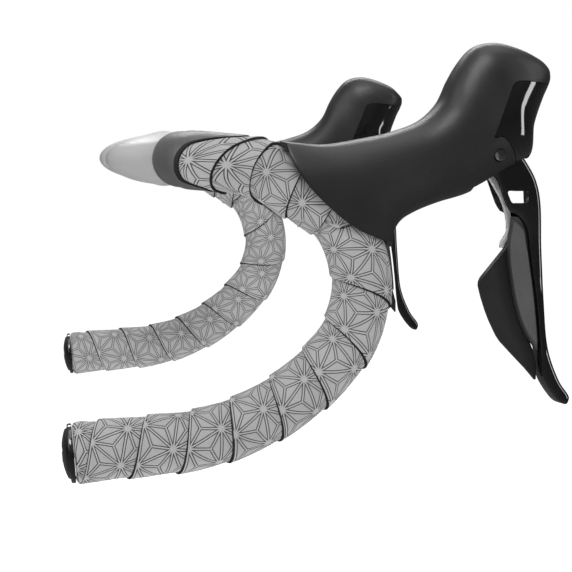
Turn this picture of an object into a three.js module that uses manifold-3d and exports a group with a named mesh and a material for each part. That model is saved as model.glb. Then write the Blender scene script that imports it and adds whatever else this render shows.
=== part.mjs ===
// Drop handlebar of a road bicycle, wound with padded tape and fitted with brake and shift levers.
// Millimetres, +X forward, +Y to the rider's left, +Z up, origin at the middle of the clamp zone.
// Each side is built once with +Y pointing outboard, and the right side is its mirror image.

import * as THREE from 'three';
import { mergeVertices } from 'three/addons/utils/BufferGeometryUtils.js';
import Module from 'manifold-3d';

const wasm = await Module();
wasm.setup();

const degrees = Math.PI / 180;
const barFacets = 12;

// Handlebar
const barWidth = 420;
const barRadius = 11.9;
const barWall = 2;
const clampRadius = 15.9;
const clampHalfLength = 28;
const wingStart = 72;
const wingEnd = 108;
const roundStart = 164;
const wingFront = 15;
const wingRear = 35;
const wingHalfHeight = 14;
const shoulderRadius = 28.9;
const shoulderDrop = 2.7;
const rampBendRadius = 30;
const rampAngle = 30.9 * degrees;
const rampLength = 33.2;
const crownRadius = 20.5;
const crownAngle = 54.2 * degrees;
const hookRadius = 53.4;
const hookAngle = 130.1 * degrees;
const dropRadius = 116.9;
const dropAngle = 175.5 * degrees;
const endLength = 46.5;
const flare = 0.041;

// Clearances
const gap = 0.3;
const runningGap = 0.5;

// Bar tape
const tapeLowRadius = 14;
const tapeHighRadius = 15.2;
const tapePitch = 22.5;
const lastEdgeFromEnd = 9;
const tuckedLength = 10;
const tuckedRadius = 13.2;

// Finishing tape, measured along the bar from its middle
const finishStart = 172;
const finishEnd = 206;
const finishRadius = 13.9;
const finishLapRadius = 14.5;

// End plug
const capRimThickness = 2.6;
const capDomeHeight = 3.4;
const capRadius = 14.3;
const sleeveLength = 26;
const sleeveWall = 2.4;
const screwRadius = 2.4;
const screwHeadRadius = 4.2;
const screwHeadHeight = 3;
const wedgeLength = 12;

// Lever bracket: its frame stands on the bar's bend and is turned inboard
const bracketX = 80;
const bracketOutset = 2;
const bracketFromMiddle = barWidth / 2 + bracketOutset;
const toeIn = 10 * degrees;
const hoodWall = 2;
const hoodGap = 0.3;
const rearBow = 9.6;
const bowFrom = 19 * degrees;
const bowTo = 150 * degrees;
const bowReach = 0.25;

// Clamp of the bracket, on the bar
const clampFromShoulder = 98.9;
const clampAt = barWidth / 2 - shoulderRadius + clampFromShoulder;
const bandThickness = 1;
const bandHalfWidth = 7;
const footHalfLength = 12;
const footHalfWidth = 7;
const footReach = 20;
const lugOffset = -11;
const lugSize = 6.5;
const boltRadius = 2;
const boltHeadRadius = 3.4;
const boltLength = 20;
const keyRoom = 8;

// Brake lever and its pivot, in the bracket's frame
const pivotX = 71.7;
const pivotZ = 2;
const pinRadius = 3;
const pinRecess = 1.2;
const rootRadius = 8;
const leverHalfWidth = 8.5;
const cheekWall = 2.4;
const bladeHalfWidth = 6.5;
const camHalfWidth = 4.2;
const camFoot = 9.4;
const slotHalfWidth = leverHalfWidth + runningGap;

// Master cylinder, in the bracket's frame
const cylinderRadius = 5.6;
const cylinderBore = 3.6;
const cylinderLength = 30;
const cylinderY = -2;
const cylinderZ = -3;
const pistonEnd = 66.1;
const pistonLength = 16;

// Return spring round the pivot pin
const springWire = 0.45;
const springRadius = pinRadius + 0.35 + springWire;
const springTurns = 2.5;
const springY = 3.7;

// Shift controls, in the bracket's frame
const buttonThickness = 3.6;
const buttonY = 2.5;
const paddleThickness = 3.2;
const paddleY = -1.6;
const armHalfWidth = 1.2;
const armY = -1.6;

// Materials
function finish(color, roughness, metalness) {
  return new THREE.MeshStandardMaterial({ color, roughness, metalness });
}
const anodised = finish(0x9a9a9a, 0.3, 0.7);
const tapeFoam = finish(0xb0b0b0, 0.8, 0);
const blackTape = finish(0x2c2c2c, 0.5, 0);
const rubber = finish(0x2a2a2a, 0.65, 0);
const glossBlack = finish(0x0c0c0c, 0.15, 0);
const satinBlack = finish(0x1c1c1c, 0.35, 0.1);
const textured = finish(0x4a4a4a, 0.6, 0);
const steel = finish(0xc0c0c0, 0.25, 1);
const castAlloy = finish(0x3a3a3a, 0.5, 0.6);

// Solids: every shape becomes a closed solid, turned the right way out
function signedVolume(position, index) {
  const a = new THREE.Vector3();
  const b = new THREE.Vector3();
  const c = new THREE.Vector3();
  let sum = 0;
  for (let i = 0; i < index.length; i += 3) {
    a.fromBufferAttribute(position, index[i]);
    b.fromBufferAttribute(position, index[i + 1]);
    c.fromBufferAttribute(position, index[i + 2]);
    sum += a.dot(b.cross(c));
  }
  return sum / 6;
}

function solid(geometry) {
  const bare = geometry.clone();
  bare.deleteAttribute('normal');
  bare.deleteAttribute('uv');
  const merged = mergeVertices(bare, 1e-4);
  const source = merged.index.array;
  const index = [];
  for (let i = 0; i < source.length; i += 3) {
    const [a, b, c] = [source[i], source[i + 1], source[i + 2]];
    if (a !== b && b !== c && c !== a) {
      index.push(a, b, c);
    }
  }
  if (signedVolume(merged.attributes.position, index) < 0) {
    index.reverse();
  }
  const vertProperties = new Float32Array(merged.attributes.position.array);
  const triVerts = new Uint32Array(index);
  return new wasm.Manifold(new wasm.Mesh({ numProp: 3, vertProperties, triVerts }));
}

function geometryOf(body) {
  const mesh = body.getMesh();
  const geometry = new THREE.BufferGeometry();
  geometry.setAttribute('position', new THREE.BufferAttribute(mesh.vertProperties, 3));
  geometry.setIndex(new THREE.BufferAttribute(mesh.triVerts, 1));
  geometry.computeVertexNormals();
  return geometry;
}

function cut(body, ...tools) {
  return tools.reduce((rest, tool) => rest.subtract(tool), body);
}

function join(body, ...others) {
  return others.reduce((sum, other) => sum.add(other), body);
}

function piece(name, body, material) {
  const mesh = new THREE.Mesh(geometryOf(body), material);
  mesh.name = name;
  return mesh;
}

// A closed skin over a row of rings, each a closed curve of the turn angle
function loft(around, rings, place) {
  const grid = new THREE.CylinderGeometry(1, 1, 1, around, rings.length - 1);
  const position = grid.attributes.position;
  const point = new THREE.Vector3();
  for (let i = 0; i < position.count; i += 1) {
    point.fromBufferAttribute(position, i);
    const ring = rings[Math.round((0.5 - point.y) * (rings.length - 1))];
    if (Math.hypot(point.x, point.z) > 0.5) {
      point.copy(place(ring, Math.atan2(point.x, point.z)));
    } else {
      point.set(0, 0, 0);
      for (let k = 0; k < around; k += 1) {
        point.add(place(ring, (k / around) * 2 * Math.PI));
      }
      point.divideScalar(around);
    }
    position.setXYZ(i, point.x, point.y, point.z);
  }
  return solid(grid);
}

// A side outline in X and Z, made as deep as asked along Y about a middle
function plate(outline, halfWidth, middleY = 0) {
  const geometry = new THREE.ExtrudeGeometry(outline, {
    depth: 2 * halfWidth,
    bevelEnabled: false,
    curveSegments: 4,
    steps: 1,
  });
  geometry.rotateX(Math.PI / 2);
  geometry.translate(0, middleY + halfWidth, 0);
  return solid(geometry);
}

function polygon(points) {
  return new THREE.Shape(points.map(([x, z]) => new THREE.Vector2(x, z)));
}

// An outline given from the pivot pin's middle
function polygonFromPivot(points) {
  return polygon(points.map(([x, z]) => [pivotX + x, pivotZ + z]));
}

function turned(profile, segments) {
  const points = profile.map(([r, y]) => new THREE.Vector2(r, y));
  return new THREE.LatheGeometry(points, segments);
}

function rod(radius, length, segments = 16) {
  return new THREE.CylinderGeometry(radius, radius, length, segments);
}

// Centreline of one half of the bar, from the middle outwards
function shoulderPoint(angle) {
  const share = angle / (Math.PI / 2);
  const x = shoulderRadius * (1 - Math.cos(angle));
  const y = barWidth / 2 - shoulderRadius * (1 - Math.sin(angle));
  return new THREE.Vector3(x, y, -shoulderDrop * share * share);
}

function centreline() {
  const step = 2;
  const points = [new THREE.Vector3(0, 0, 0)];
  const straight = barWidth / 2 - shoulderRadius;
  const straightSteps = Math.ceil(straight / step);
  for (let i = 1; i <= straightSteps; i += 1) {
    points.push(new THREE.Vector3(0, (straight * i) / straightSteps, 0));
  }
  const shoulderLength = (shoulderRadius * Math.PI) / 2;
  const shoulderSteps = Math.ceil(shoulderLength / step);
  for (let i = 1; i <= shoulderSteps; i += 1) {
    points.push(shoulderPoint((i / shoulderSteps) * (Math.PI / 2)));
  }
  const place = points[points.length - 1].clone();
  let heading = Math.atan((2 * shoulderDrop) / shoulderLength);
  const advance = (length, turn) => {
    const count = Math.ceil(length / step);
    for (let i = 0; i < count; i += 1) {
      heading += turn / count / 2;
      place.x += (length / count) * Math.cos(heading);
      place.z -= (length / count) * Math.sin(heading);
      heading += turn / count / 2;
      place.y = barWidth / 2 - flare * (place.z + shoulderDrop);
      points.push(place.clone());
    }
  };
  const bend = (radius, until) => advance(radius * (until - heading), until - heading);
  bend(rampBendRadius, rampAngle);
  advance(rampLength, 0);
  bend(crownRadius, crownAngle);
  bend(hookRadius, hookAngle);
  bend(dropRadius, dropAngle);
  advance(endLength, 0);
  return points;
}

// Stations along the centreline: along is its direction, out points away from the bends
// (up on the tops, forward on the hook) and side points rearward on the tops, then outboard
function stations(points) {
  const list = [];
  let run = 0;
  const out = new THREE.Vector3(0, 0, 1);
  points.forEach((centre, i) => {
    const next = points[Math.min(i + 1, points.length - 1)];
    const last = points[Math.max(i - 1, 0)];
    const along = next.clone().sub(last).normalize();
    out.addScaledVector(along, -out.dot(along)).normalize();
    run += i > 0 ? centre.distanceTo(last) : 0;
    list.push({ run, centre, along, out: out.clone(), side: out.clone().cross(along) });
  });
  return list;
}

const barStations = stations(centreline());
const barLength = barStations[barStations.length - 1].run;

function barAt(run) {
  const clamped = Math.min(Math.max(run, 0), barLength);
  let i = 1;
  while (i < barStations.length - 1 && barStations[i].run < clamped) {
    i += 1;
  }
  const [a, b] = [barStations[i - 1], barStations[i]];
  const share = (clamped - a.run) / (b.run - a.run);
  const mix = (key) => a[key].clone().lerp(b[key], share);
  const along = mix('along').normalize();
  const centre = mix('centre').addScaledVector(along, run - clamped);
  return { centre, along, out: mix('out').normalize(), side: mix('side').normalize() };
}

function runs(from, to, step) {
  const count = Math.max(1, Math.ceil((to - from) / step));
  return Array.from({ length: count + 1 }, (_, i) => from + ((to - from) * i) / count);
}

// Shared rings along the drop, so that what sits on the bar has the same facets as the bar
const shoulderStart = barWidth / 2 - shoulderRadius;
const tightLength = (shoulderRadius * Math.PI) / 2 + rampLength + 22;
const dropRings = [
  ...runs(roundStart, shoulderStart, 30),
  ...runs(shoulderStart, shoulderStart + tightLength, 6).slice(1),
  ...runs(shoulderStart + tightLength, barLength - endLength, 11).slice(1),
  ...runs(barLength - endLength, barLength, 24).slice(1),
];

function ringsBetween(from, to) {
  const apart = 0.6;
  const inside = dropRings.filter((run) => run > from + apart && run < to - apart);
  return [from, ...inside, to];
}

// A point at a turn angle round the bar, on an oval of given reach out, sideways and back
function aroundBar(run, turn, outReach, sideReach, backReach = sideReach) {
  const { centre, out, side } = barAt(run);
  const across = Math.sin(turn);
  return centre
    .clone()
    .addScaledVector(out, outReach * Math.cos(turn))
    .addScaledVector(side, (across > 0 ? backReach : sideReach) * across);
}

function tubeOnBar(radius, from, to) {
  return loft(barFacets, ringsBetween(from, to), (run, turn) => aroundBar(run, turn, radius, radius));
}

// Handlebar: round at the clamp, a wing section on the tops, round from there to the ends
function smooth(from, to, value) {
  return THREE.MathUtils.smoothstep(value, from, to);
}

function barSection(run) {
  const wing = smooth(clampHalfLength, wingStart, run);
  const round = smooth(wingEnd, roundStart, run);
  const blend = (atClamp, onTops) => {
    const value = THREE.MathUtils.lerp(atClamp, onTops, wing);
    return THREE.MathUtils.lerp(value, barRadius, round);
  };
  return {
    front: blend(clampRadius, wingFront),
    rear: blend(clampRadius, wingRear),
    height: blend(clampRadius, wingHalfHeight),
  };
}

function barSkin(inset, beyond, around, keepEvery) {
  const tops = [
    ...runs(0, clampHalfLength, clampHalfLength),
    ...runs(clampHalfLength, wingStart, 9).slice(1),
    ...runs(wingStart, wingEnd, 35).slice(1),
    ...runs(wingEnd, roundStart, 9).slice(1),
  ];
  const drop = dropRings.slice(1).filter((_, i) => i % keepEvery === 0);
  const half = [...tops, ...drop, barLength + beyond];
  const rings = [...half.slice(1).reverse().map((run) => -run), ...half];
  return loft(around, rings, (ring, turn) => {
    const { front, rear, height } = barSection(Math.abs(ring));
    const point = aroundBar(Math.abs(ring), turn, height - inset, front - inset, rear - inset);
    point.y *= Math.sign(ring) || 1;
    return point;
  });
}

function handlebar() {
  return cut(barSkin(0, 0, barFacets, 1), barSkin(barWall, 1, barFacets, 2));
}

// Bar tape: one strip wound in a helix, each turn lying over the edge of the one before it
function tapeHelix(from, to) {
  const perTurn = 12;
  const rows = 2;
  const lastEdge = barLength - lastEdgeFromEnd;
  const turnsBack = Math.ceil((lastEdge - from) / tapePitch) + 1;
  const start = lastEdge - turnsBack * tapePitch;
  const columns = Math.ceil((to - start) / tapePitch) * perTurn + perTurn;
  const positions = [];
  for (let i = 0; i <= columns; i += 1) {
    const turn = Math.PI / 2 - (i / perTurn) * 2 * Math.PI;
    for (let q = 0; q <= rows; q += 1) {
      const run = start + ((i / perTurn) + q / rows) * tapePitch;
      const radius = THREE.MathUtils.lerp(tapeLowRadius, tapeHighRadius, q / rows);
      positions.push(...aroundBar(run, turn, radius, radius).toArray());
    }
  }
  const at = (i, q) => i * (rows + 1) + q;
  const index = [];
  const quad = (a, b, c, d) => index.push(a, b, c, a, c, d);
  for (let i = 0; i < columns; i += 1) {
    for (let q = 0; q < rows; q += 1) {
      quad(at(i, q), at(i + 1, q), at(i + 1, q + 1), at(i, q + 1));
    }
    if (i + perTurn < columns) {
      quad(at(i, rows), at(i + 1, rows), at(i + 1 + perTurn, 0), at(i + perTurn, 0));
    }
  }
  const close = (loop, run) => {
    const middle = positions.length / 3;
    positions.push(...barAt(run).centre.toArray());
    loop.forEach((a, k) => index.push(middle, loop[(k + 1) % loop.length], a));
  };
  const turnRange = Array.from({ length: perTurn + 1 }, (_, k) => k);
  const rowRange = Array.from({ length: rows }, (_, k) => k);
  close([
    ...turnRange.map((k) => at(k, 0)),
    ...rowRange.map((k) => at(0, rows - k)),
  ], start + tapePitch / 2);
  close([
    ...turnRange.map((k) => at(columns - k, rows)),
    ...rowRange.map((k) => at(columns, k)),
  ], start + (columns / perTurn + 0.5) * tapePitch);
  const geometry = new THREE.BufferGeometry();
  geometry.setAttribute('position', new THREE.Float32BufferAttribute(positions, 3));
  geometry.setIndex(index);
  return solid(geometry);
}

const tapeStart = finishEnd - tuckedLength;
const tapeInner = barRadius + gap;

function barTape(pockets) {
  const helix = tapeHelix(tapeStart, barLength);
  const ends = tubeOnBar(tapeHighRadius + 3, tapeStart, barLength);
  const tucked = cut(
    tubeOnBar(tapeHighRadius + 4, tapeStart - 1, finishEnd + gap),
    tubeOnBar(tuckedRadius, tapeStart - 2, finishEnd + gap + 1),
  );
  return cut(helix.intersect(ends), tucked, tubeOnBar(tapeInner, tapeStart - 1, barLength + 1), pockets);
}

// Finishing tape: a black band that laps over the inner end of the bar tape
function finishingTape() {
  const outer = loft(barFacets, ringsBetween(finishStart, finishEnd), (run, turn) => {
    const share = smooth(tapeStart - 6, tapeStart + 2, run);
    const radius = THREE.MathUtils.lerp(finishRadius, finishLapRadius, share);
    return aroundBar(run, turn, radius, radius);
  });
  const overBar = tubeOnBar(barRadius + gap, finishStart - 1, finishEnd + 1);
  const overTape = tubeOnBar(tuckedRadius + gap, tapeStart - gap, finishEnd + 1);
  return cut(outer, overBar, overTape);
}

// End plug: domed cap, split sleeve, wedge and screw, along the end of the bar
function endFrame() {
  const { centre, along } = barAt(barLength);
  const group = new THREE.Group();
  group.position.copy(centre);
  group.quaternion.setFromUnitVectors(new THREE.Vector3(0, 1, 0), along);
  return group;
}

function endCap() {
  const dome = turned([
    [0, gap],
    [capRadius, gap],
    [capRadius, capRimThickness - 0.8],
    [capRadius - 0.8, capRimThickness],
    [capRadius * 0.75, capRimThickness + capDomeHeight * 0.6],
    [capRadius * 0.4, capRimThickness + capDomeHeight * 0.93],
    [0, capRimThickness + capDomeHeight],
  ], 22);
  const screwHole = rod(screwRadius + gap, 20, 10);
  const headRecess = rod(screwHeadRadius + gap, 20, 12).translate(0, capRimThickness + 10, 0);
  return cut(solid(dome), solid(screwHole), solid(headRecess));
}

const sleeveRadius = (barRadius - barWall) * Math.cos(Math.PI / barFacets) - gap;
const sleeveBore = sleeveRadius - sleeveWall;

function plugSleeve() {
  const sleeve = turned([
    [sleeveBore, 0],
    [sleeveRadius, 0],
    [sleeveRadius, -sleeveLength],
    [sleeveRadius - 0.6, -sleeveLength],
    [sleeveBore, -sleeveLength + wedgeLength],
    [sleeveBore, 0],
  ], 16);
  const slit = new THREE.BoxGeometry(1.2, sleeveLength * 0.7, sleeveRadius * 2);
  slit.translate(0, -sleeveLength * 0.7, sleeveRadius);
  return cut(solid(sleeve), solid(slit));
}

function plugWedge() {
  const slope = (sleeveRadius - 0.6 - sleeveBore) / wedgeLength;
  const taper = turned([
    [0, -sleeveLength + wedgeLength],
    [sleeveBore - gap, -sleeveLength + wedgeLength],
    [sleeveBore - gap + slope * wedgeLength, -sleeveLength],
    [0, -sleeveLength],
  ], 16);
  const hole = rod(screwRadius + gap, 60, 10);
  return cut(solid(taper), solid(hole));
}

function plugScrew() {
  const seat = capRimThickness + gap;
  const shank = turned([
    [0, -sleeveLength],
    [screwRadius, -sleeveLength],
    [screwRadius, seat],
    [screwHeadRadius, seat],
    [screwHeadRadius, seat + screwHeadHeight],
    [0, seat + screwHeadHeight],
  ], 12);
  const socket = new THREE.CylinderGeometry(2, 2, 4, 6).translate(0, seat + screwHeadHeight, 0);
  return cut(solid(shank), solid(socket));
}

// Bracket frame
const bracketFrame = new THREE.Matrix4()
  .makeRotationZ(-toeIn)
  .setPosition(bracketX, bracketFromMiddle, 0);
const toBracket = bracketFrame.clone().invert();

function inBracket(body) {
  return solid(geometryOf(body).applyMatrix4(toBracket));
}

// Hood: sections from the diagonal rear edge, along the grip and up the horn
// Each row holds the upper and lower point of a section, in X and Z, and its half width
const hoodSections = [
  { top: [-36, 8.9], low: [20.5, -43], half: 17 },
  { top: [-15, 7.2], low: [21.3, -35], half: 17.8 },
  { top: [4, 9.8], low: [24.5, -30], half: 17.6 },
  { top: [21, 13.4], low: [32, -25.6], half: 17 },
  { top: [36, 19], low: [44, -21.2], half: 16.6 },
  { top: [45.8, 27.9], low: [60, -16.6], half: 17 },
  { top: [51.5, 39.5], low: [80, -6], half: 17.6 },
  { top: [57.2, 48.5], low: [92.5, 1], half: 17.2 },
  { top: [64, 55], low: [94.5, 16], half: 16.4 },
  { top: [74, 57.2], low: [99, 29], half: 14.8 },
  { top: [86, 54.4], low: [103, 38], half: 12 },
  { top: [96, 50], low: [103.2, 42.5], half: 8 },
];

function sectionCurve(key) {
  const points = hoodSections.map(({ [key]: [x, z] }) => new THREE.Vector3(x, 0, z));
  return new THREE.CatmullRomCurve3(points, false, 'centripetal');
}
const hoodTop = sectionCurve('top');
const hoodLow = sectionCurve('low');
const hoodHalf = new THREE.CatmullRomCurve3(
  hoodSections.map(({ half }, i) => new THREE.Vector3(half, i, 0)),
  false,
  'centripetal',
);

function squared(value) {
  return Math.sign(value) * Math.abs(value) ** 0.85;
}

const hoodRings = runs(0, 1, 1 / 12);

// On both flanks the rear edge bows back over the bar, less and less along the grip
function bow(share, turn) {
  const across = Math.sin((Math.PI * (Math.abs(turn) - bowFrom)) / (bowTo - bowFrom));
  return rearBow * Math.max(0, across) * Math.max(0, 1 - share / bowReach) ** 2;
}

function hoodForm(inset, from, to, around) {
  const inside = hoodRings.filter((share) => share > from + 0.03 && share < to - 0.03);
  return loft(around, [from, ...inside, to], (share, turn) => {
    const top = hoodTop.getPoint(share);
    const low = hoodLow.getPoint(share);
    const arm = top.clone().sub(low).multiplyScalar(0.5);
    const back = new THREE.Vector3(-arm.z, 0, arm.x).normalize();
    const middle = top.add(low).multiplyScalar(0.5);
    arm.setLength(arm.length() - inset);
    middle.addScaledVector(back, bow(share, turn));
    middle.addScaledVector(arm, squared(Math.cos(turn)));
    middle.y = (hoodHalf.getPoint(share).x - inset) * squared(Math.sin(turn));
    return middle;
  });
}

// Region in front of the hood's edge, where the glossy cap shows
function frontRegion(margin) {
  return plate(polygon([
    [68 - margin, 11.4],
    [72.5, 11.2 - margin],
    [76.6, 8 - margin],
    [82.6, -1.5 - margin],
    [82.6, -30],
    [125, -30],
    [125, 36 + margin],
    [101, 36.3 + margin],
    [86, 38 + margin],
    [80.4, 37.6 + margin],
    [78 - margin, 35.8],
  ]), 30);
}

// Space in which the root of the brake lever swings
function leverSlot(halfWidth) {
  return plate(polygonFromPivot([
    [-11.1, -47],
    [-11.1, 2],
    [-7.7, 7.4],
    [0, 10.2],
    [8.3, 9],
    [19.5, 0.4],
    [20.7, -3.4],
    [53.3, -3.4],
    [53.3, -47],
  ]), halfWidth);
}

function pinAcross(radius, halfLength) {
  return solid(rod(radius, 2 * halfLength, 16).translate(pivotX, 0, pivotZ));
}

// Clamp of the bracket: a block at a distance out of and beside the bar
function blockOnBar(outFrom, outTo, sideMiddle, sideHalf, alongHalf) {
  const { centre, along, out, side } = barAt(clampAt);
  const block = new THREE.BoxGeometry(outTo - outFrom, 2 * sideHalf, 2 * alongHalf);
  const basis = new THREE.Matrix4().makeBasis(out, side, along.clone().negate());
  block.translate((outFrom + outTo) / 2, sideMiddle, 0);
  block.applyMatrix4(basis.setPosition(centre));
  return solid(block);
}

function boltOnBar(radius, outFrom, outTo) {
  const { centre, along, out, side } = barAt(clampAt);
  const shank = rod(radius, outTo - outFrom, 10).translate(lugOffset, (outFrom + outTo) / 2, 0);
  const basis = new THREE.Matrix4().makeBasis(side, out, along);
  return solid(shank.applyMatrix4(basis.setPosition(centre)));
}

const bandInner = barRadius + gap;
const bandOuter = bandInner + bandThickness;
const lugFrom = 7;
const lugTo = 15;
const shankFrom = 10;
const boltHeadFrom = lugTo + boltLength - 3;

function bandRing(grow) {
  const reach = bandHalfWidth + grow;
  const ring = tubeOnBar(bandOuter + grow, clampAt - reach, clampAt + reach);
  const lug = blockOnBar(lugFrom - grow, lugTo + grow, lugOffset, lugSize / 2 + grow, 5 + grow);
  return join(ring, lug);
}

function clampBand() {
  const bore = tubeOnBar(bandInner, clampAt - bandHalfWidth - 1, clampAt + bandHalfWidth + 1);
  return cut(bandRing(0), bore, boltOnBar(boltRadius + gap, shankFrom - gap, lugTo + 1));
}

function clampBolt() {
  const shank = boltOnBar(boltRadius, shankFrom, boltHeadFrom + 1);
  const head = boltOnBar(boltHeadRadius, boltHeadFrom, boltHeadFrom + 3.6);
  return join(shank, head);
}

function boltSpace() {
  const shank = boltOnBar(boltRadius + gap, shankFrom - gap, boltHeadFrom + 1);
  const head = boltOnBar(boltHeadRadius + gap, boltHeadFrom - gap, boltHeadFrom + keyRoom);
  return join(shank, head);
}

// Opening in the bracket's flank, through which a key reaches the bolt
function boltWindow() {
  const from = boltHeadFrom - gap;
  const to = boltHeadFrom + keyRoom;
  return blockOnBar(from, to, lugOffset - 6, 6, boltHeadRadius + gap);
}

function bracketFoot(grow) {
  return blockOnBar(0, footReach, 0, footHalfWidth + grow, footHalfLength + grow);
}

const boreTube = tubeOnBar(barRadius + gap, clampAt - 30, clampAt + 30);
const tapeTube = tubeOnBar(tapeHighRadius + 2 * gap, finishEnd + 2, clampAt + 90);

function cylinderSpace() {
  const space = rod(cylinderRadius + gap, cylinderLength + 12).rotateZ(Math.PI / 2);
  const from = pistonEnd - pistonLength * 0.55 - cylinderLength;
  space.translate(from + (cylinderLength + 12) / 2 - gap, cylinderY, cylinderZ);
  return solid(space);
}

function bracketBody() {
  const inner = cut(hoodForm(hoodWall + hoodGap, 0.12, 0.972, 12), inBracket(tapeTube));
  const whole = join(inner, inBracket(cut(bracketFoot(0), boreTube)));
  return cut(
    whole,
    inBracket(bandRing(gap)),
    inBracket(boltSpace()),
    inBracket(boltWindow()),
    leverSlot(slotHalfWidth),
    pinAcross(pinRadius + gap, 40),
    cylinderSpace(),
  );
}

function leverHood() {
  const shell = cut(hoodForm(0, 0, 1, 16), hoodForm(hoodWall, 0.1, 0.985, 12));
  return cut(
    shell,
    inBracket(tapeTube),
    inBracket(bandRing(gap)),
    inBracket(bracketFoot(gap)),
    inBracket(boltSpace()),
    frontRegion(gap),
    leverSlot(slotHalfWidth),
    pinAcross(pinRadius + gap, 40),
  );
}

function frontCap() {
  const skin = cut(hoodForm(0, 0, 1, 16), hoodForm(hoodWall, 0.1, 0.985, 12));
  return cut(skin.intersect(frontRegion(0)), leverSlot(slotHalfWidth), pinAcross(pinRadius + 2, 40));
}

function pivotPin() {
  return pinAcross(pinRadius, 17.4 - pinRecess);
}

// Brake lever: two cheeks on the pin, a window, and a long blade that curls forward at its tip
function leverOutline() {
  const shape = new THREE.Shape();
  shape.moveTo(9.6, -27.9);
  shape.splineThru([
    new THREE.Vector2(7.4, -24.6),
    new THREE.Vector2(5.2, -19.2),
    new THREE.Vector2(3.4, -14.5),
    new THREE.Vector2(1.7, -10.4),
  ]);
  shape.lineTo(-3, 0.6 - rootRadius);
  shape.absarc(0, 0, rootRadius, Math.PI * 1.38, Math.PI * 0.4, true);
  shape.lineTo(11.6, 3);
  shape.lineTo(17.4, -2.4);
  shape.splineThru([
    new THREE.Vector2(23.2, -12.3),
    new THREE.Vector2(26.1, -25.6),
    new THREE.Vector2(27.6, -50.4),
    new THREE.Vector2(28.9, -71.8),
    new THREE.Vector2(31.3, -95.6),
    new THREE.Vector2(37.4, -112),
    new THREE.Vector2(43.2, -120.4),
    new THREE.Vector2(43.6, -123.4),
    new THREE.Vector2(41.8, -125.4),
    new THREE.Vector2(37, -122.6),
    new THREE.Vector2(30.3, -113),
    new THREE.Vector2(28.3, -104),
    new THREE.Vector2(26.8, -88),
    new THREE.Vector2(24.9, -71),
    new THREE.Vector2(21.5, -49),
    new THREE.Vector2(19.4, -37),
    new THREE.Vector2(14.8, -30.8),
  ]);
  return shape;
}

function brakeBlade() {
  const root = plate(leverOutline(), leverHalfWidth).translate([pivotX, 0, pivotZ]);
  const belowRoot = [[-11.7, -33], [53.3, -33], [53.3, -137], [-11.7, -137]];
  const sides = cut(
    plate(polygonFromPivot(belowRoot), leverHalfWidth + 1),
    plate(polygonFromPivot(belowRoot), bladeHalfWidth),
  );
  const channel = plate(polygonFromPivot([
    [-11.7, 12],
    [8.3, 12],
    [9.7, 2.2],
    [15.7, -5.6],
    [20.7, -14],
    [22.5, -22],
    [23, -28],
    [17.5, -30.4],
    [-1.7, -32],
    [-1.7, -11.4],
    [-11.7, -11.4],
  ]), leverHalfWidth - cheekWall);
  const outerWindow = [[7.3, -17.6], [18.5, -17.6], [18.5, -22.4], [17.5, -23.6], [9.4, -23.6]];
  const innerWindow = [[8.6, -16.8], [23.2, -16.8], [23.6, -24.2], [10.8, -24.2]];
  const windows = join(
    plate(polygonFromPivot(outerWindow), leverHalfWidth, leverHalfWidth),
    plate(polygonFromPivot(innerWindow), leverHalfWidth, -leverHalfWidth),
  );
  const cam = plate(polygonFromPivot([
    [-5.1, -camFoot],
    [-5.1, -2.6],
    [-3.5, 3.4],
    [1.3, 4.6],
    [4.3, -1],
    [3.3, -camFoot],
  ]), camHalfWidth, camHalfWidth - leverHalfWidth + cheekWall / 2);
  return cut(join(cut(root, sides, channel, windows), cam), pinAcross(pinRadius + gap, 20));
}

// Chrome arm behind the blade, which carries the shift controls
function shiftArm() {
  return plate(polygonFromPivot([
    [3.2, -camFoot - gap],
    [5.8, -13],
    [9.9, -20],
    [12.9, -28.3],
    [13.8, -37.4],
    [11.6, -41.6],
    [9, -46.2],
    [7.6, -46],
    [8.5, -42.2],
    [11.4, -37.4],
    [10.4, -29],
    [7.4, -21],
    [3.4, -14.6],
    [0.2, -camFoot - gap],
  ]), armHalfWidth, armY);
}

function upperShiftButton() {
  return plate(polygonFromPivot([
    [12.2, -31.5],
    [13.6, -31.5],
    [17, -35],
    [18.5, -37.4],
    [19.3, -43],
    [20.6, -49.5],
    [23.9, -71],
    [25.8, -88],
    [26.3, -97.4],
    [24.6, -95.6],
    [18.8, -86],
    [14.3, -72.6],
    [11.5, -57.6],
    [10.5, -50],
    [10.4, -42],
    [11.5, -36.8],
  ]), buttonThickness / 2, buttonY);
}

function lowerShiftPaddle() {
  return plate(polygonFromPivot([
    [12.6, -41],
    [9.6, -46.7],
    [4.1, -53],
    [-2.7, -60.8],
    [-3.6, -64.7],
    [0, -77],
    [4.6, -87.2],
    [8.3, -93.2],
    [21.8, -107.2],
    [27.2, -113.4],
    [27.2, -105],
    [25.2, -97.6],
    [20.8, -87],
    [17.2, -73],
    [14.6, -57],
    [13.6, -41],
  ]), paddleThickness / 2, paddleY);
}

// Master cylinder and piston, along the grip behind the lever's root
function masterCylinder() {
  const back = pistonEnd - pistonLength * 0.55 - cylinderLength;
  const barrel = turned([
    [0, 0],
    [cylinderRadius, 0],
    [cylinderRadius, cylinderLength],
    [cylinderBore + gap, cylinderLength],
    [cylinderBore + gap, 4],
    [0, 4],
    [0, 0],
  ], 14);
  barrel.rotateZ(-Math.PI / 2);
  barrel.translate(back, cylinderY, cylinderZ);
  return solid(barrel);
}

function piston() {
  const rounded = turned([
    [0, 0],
    [cylinderBore, 0],
    [cylinderBore, pistonLength - 2],
    [cylinderBore - 1.6, pistonLength],
    [0, pistonLength],
  ], 12);
  rounded.rotateZ(-Math.PI / 2);
  rounded.translate(pistonEnd - pistonLength, cylinderY, cylinderZ);
  return solid(rounded);
}

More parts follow.
